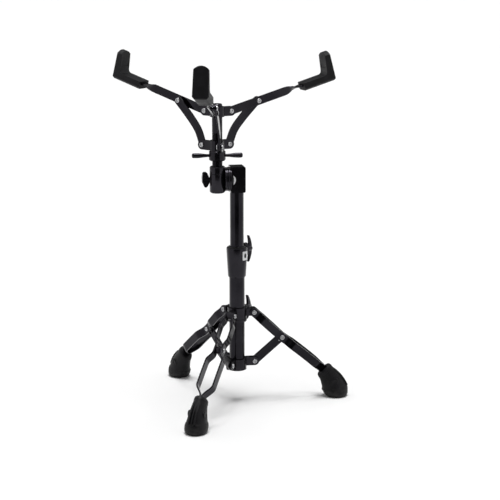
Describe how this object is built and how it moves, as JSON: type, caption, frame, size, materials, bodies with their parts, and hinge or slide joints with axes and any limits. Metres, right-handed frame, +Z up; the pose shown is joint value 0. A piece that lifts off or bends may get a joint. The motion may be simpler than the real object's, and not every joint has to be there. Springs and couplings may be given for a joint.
{
  "type": "snare drum stand",
  "caption": "Folding tripod stand with a telescoping column, an offset tilter and a three-arm basket whose rubber cradles grip a snare drum.",
  "frame": {"origin": "on the floor, below the middle of the stand's bounding box", "axes": "+Z up along the column, +X along the right-hand leg"},
  "size_m": [0.4206, 0.411, 0.6371],
  "materials": {
    "black_plate": "gloss black plating",
    "black_casting": "satin black plating on castings",
    "bright_rivet": "bright zinc plating",
    "rubber": "matte moulded rubber",
    "nylon": "moulded nylon",
    "pale_plate": "satin pale plate"
  },
  "bodies": {
    "base": {"base_tube": "black_plate", "lower_bracket": "black_casting", "height_clamp": "black_casting", "clamp_plate": "pale_plate", "bracket_rivet_right": "bright_rivet", "bracket_rivet_back": "bright_rivet", "bracket_rivet_front": "bright_rivet"},
    "clamp_wing": {"clamp_wing_bolt": "black_casting"},
    "bush": {"clamp_bush": "nylon"},
    "upper": {"upper_tube": "black_plate", "tilter_block": "black_casting"},
    "tilter": {"tilter_body": "black_casting", "basket_post": "black_plate", "upper_hub": "black_casting"},
    "tilter_wing": {"tilter_wing_bolt": "black_casting"},
    "lower_hub": {"lower_hub": "black_casting", "link_rivet_right": "bright_rivet", "link_rivet_left": "bright_rivet", "link_rivet_front": "bright_rivet"},
    "nut": {"basket_nut": "black_casting"},
    "collar": {"leg_collar": "black_casting"},
    "collar_wing": {"collar_wing_bolt": "black_casting"},
    "arm_right": {"arm_right": "black_plate", "cradle_right": "rubber", "hub_rivet_right": "bright_rivet", "arm_rivet_right": "bright_rivet"},
    "link_right": {"link_right": "black_plate"},
    "arm_left": {"arm_left": "black_plate", "cradle_left": "rubber", "hub_rivet_left": "bright_rivet", "arm_rivet_left": "bright_rivet"},
    "link_left": {"link_left": "black_plate"},
    "arm_front": {"arm_front": "black_plate", "cradle_front": "rubber", "hub_rivet_front": "bright_rivet", "arm_rivet_front": "bright_rivet"},
    "link_front": {"link_front": "black_plate"},
    "leg_right": {"leg_right_strip_1": "black_plate", "leg_right_strip_2": "black_plate", "foot_right": "rubber", "collar_rivet_right": "bright_rivet", "leg_rivet_right": "bright_rivet"},
    "brace_right": {"brace_right": "black_plate"},
    "leg_back": {"leg_back_strip_1": "black_plate", "leg_back_strip_2": "black_plate", "foot_back": "rubber", "collar_rivet_back": "bright_rivet", "leg_rivet_back": "bright_rivet"},
    "brace_back": {"brace_back": "black_plate"},
    "leg_front": {"leg_front_strip_1": "black_plate", "leg_front_strip_2": "black_plate", "foot_front": "rubber", "collar_rivet_front": "bright_rivet", "leg_rivet_front": "bright_rivet"},
    "brace_front": {"brace_front": "black_plate"}
  },
  "joints": [
    {"name": "column_swivel", "type": "hinge", "parent": "base", "child": "bush", "pos_m": [0.0014, 0.0191, 0.28], "axis": [0, 0, 1], "continuous": true},
    {"name": "column_height", "type": "slide", "parent": "bush", "child": "upper", "axis": [0, 0, 1], "range_m": [-0.086, 0.07]},
    {"name": "basket_tilt", "type": "hinge", "parent": "upper", "child": "tilter", "pos_m": [0.0014, 0.0191, 0.416], "axis": [0.9994, 0.0349, 0], "range_deg": [-90, 90]},
    {"name": "tilt_wing_turn", "type": "hinge", "parent": "tilter", "child": "tilter_wing", "pos_m": [0.0014, 0.0191, 0.416], "axis": [-0.9994, -0.0349, 0], "range_deg": [0, 360]},
    {"name": "clamp_wing_turn", "type": "hinge", "parent": "base", "child": "clamp_wing", "pos_m": [0.0014, 0.0191, 0.284], "axis": [0.8192, 0.5736, 0], "range_deg": [0, 360]},
    {"name": "collar_wing_turn", "type": "hinge", "parent": "collar", "child": "collar_wing", "pos_m": [0.0014, 0.0191, 0.171], "axis": [0.6428, 0.766, 0], "range_deg": [0, 360]},
    {"name": "nut_turn", "type": "hinge", "parent": "lower_hub", "child": "nut", "pos_m": [-0.03358, 0.01788, 0.459], "axis": [0, 0, 1], "range_deg": [0, 3379.8]},
    {"name": "lower_hub_slide", "type": "slide", "parent": "tilter", "child": "lower_hub", "axis": [0, 0, 1], "range_m": [0, 0.02348]},
    {"name": "arm_right_fold", "type": "hinge", "parent": "tilter", "child": "arm_right", "pos_m": [-0.00866, 0.02531, 0.5373], "axis": [0.2857, -0.9583, 0], "range_deg": [0, 64.43]},
    {"name": "link_right_fold", "type": "hinge", "parent": "arm_right", "child": "link_right", "pos_m": [0.04295, 0.04469, 0.55266], "axis": [0.2857, -0.9583, 0], "range_deg": [-34.4, 0]},
    {"name": "arm_left_fold", "type": "hinge", "parent": "tilter", "child": "arm_left", "pos_m": [-0.05247, 0.03574, 0.5373], "axis": [0.6871, 0.7266, 0], "range_deg": [0, 64.43]},
    {"name": "link_left_fold", "type": "hinge", "parent": "arm_left", "child": "link_left", "pos_m": [-0.09506, 0.07075, 0.55266], "axis": [0.6871, 0.7266, 0], "range_deg": [-34.4, 0]},
    {"name": "arm_front_fold", "type": "hinge", "parent": "tilter", "child": "arm_front", "pos_m": [-0.0396, -0.00741, 0.5373], "axis": [-0.9728, 0.2317, 0], "range_deg": [0, 64.43]},
    {"name": "link_front_fold", "type": "hinge", "parent": "arm_front", "child": "link_front", "pos_m": [-0.04863, -0.0618, 0.55266], "axis": [-0.9728, 0.2317, 0], "range_deg": [-34.4, 0]},
    {"name": "collar_slide", "type": "slide", "parent": "base", "child": "collar", "axis": [0, 0, 1], "range_m": [0, 0.04239]},
    {"name": "leg_right_fold", "type": "hinge", "parent": "collar", "child": "leg_right", "pos_m": [0.032, 0.0191, 0.169], "axis": [0, 1, 0], "range_deg": [0, 34.42]},
    {"name": "brace_right_fold", "type": "hinge", "parent": "base", "child": "brace_right", "pos_m": [0.0338, 0.0191, 0.0753], "axis": [0, -1, 0], "range_deg": [0, 37.53]},
    {"name": "leg_back_fold", "type": "hinge", "parent": "collar", "child": "leg_back", "pos_m": [-0.0139, 0.0456, 0.169], "axis": [-0.866, -0.5, 0], "range_deg": [0, 34.42]},
    {"name": "brace_back_fold", "type": "hinge", "parent": "base", "child": "brace_back", "pos_m": [-0.0148, 0.04716, 0.0753], "axis": [0.866, 0.5, 0], "range_deg": [0, 37.53]},
    {"name": "leg_front_fold", "type": "hinge", "parent": "collar", "child": "leg_front", "pos_m": [-0.0139, -0.0074, 0.169], "axis": [0.866, -0.5, 0], "range_deg": [0, 34.42]},
    {"name": "brace_front_fold", "type": "hinge", "parent": "base", "child": "brace_front", "pos_m": [-0.0148, -0.00896, 0.0753], "axis": [-0.866, 0.5, 0], "range_deg": [0, 37.53]}
  ],
  "couplings": [
    {"joint": "lower_hub_slide", "follows": "nut_turn", "m_per_rad": 0.00039789},
    {"joint": "arm_right_fold", "follows": "nut_turn", "ratio": 0.019054},
    {"joint": "link_right_fold", "follows": "nut_turn", "ratio": -0.010172},
    {"joint": "arm_left_fold", "follows": "nut_turn", "ratio": 0.019054},
    {"joint": "link_left_fold", "follows": "nut_turn", "ratio": -0.010172},
    {"joint": "arm_front_fold", "follows": "nut_turn", "ratio": 0.019054},
    {"joint": "link_front_fold", "follows": "nut_turn", "ratio": -0.010172},
    {"joint": "leg_right_fold", "follows": "collar_slide", "rad_per_m": 14.165},
    {"joint": "brace_right_fold", "follows": "collar_slide", "rad_per_m": 15.444},
    {"joint": "leg_back_fold", "follows": "collar_slide", "rad_per_m": 14.165},
    {"joint": "brace_back_fold", "follows": "collar_slide", "rad_per_m": 15.444},
    {"joint": "leg_front_fold", "follows": "collar_slide", "rad_per_m": 14.165},
    {"joint": "brace_front_fold", "follows": "collar_slide", "rad_per_m": 15.444}
  ]
}
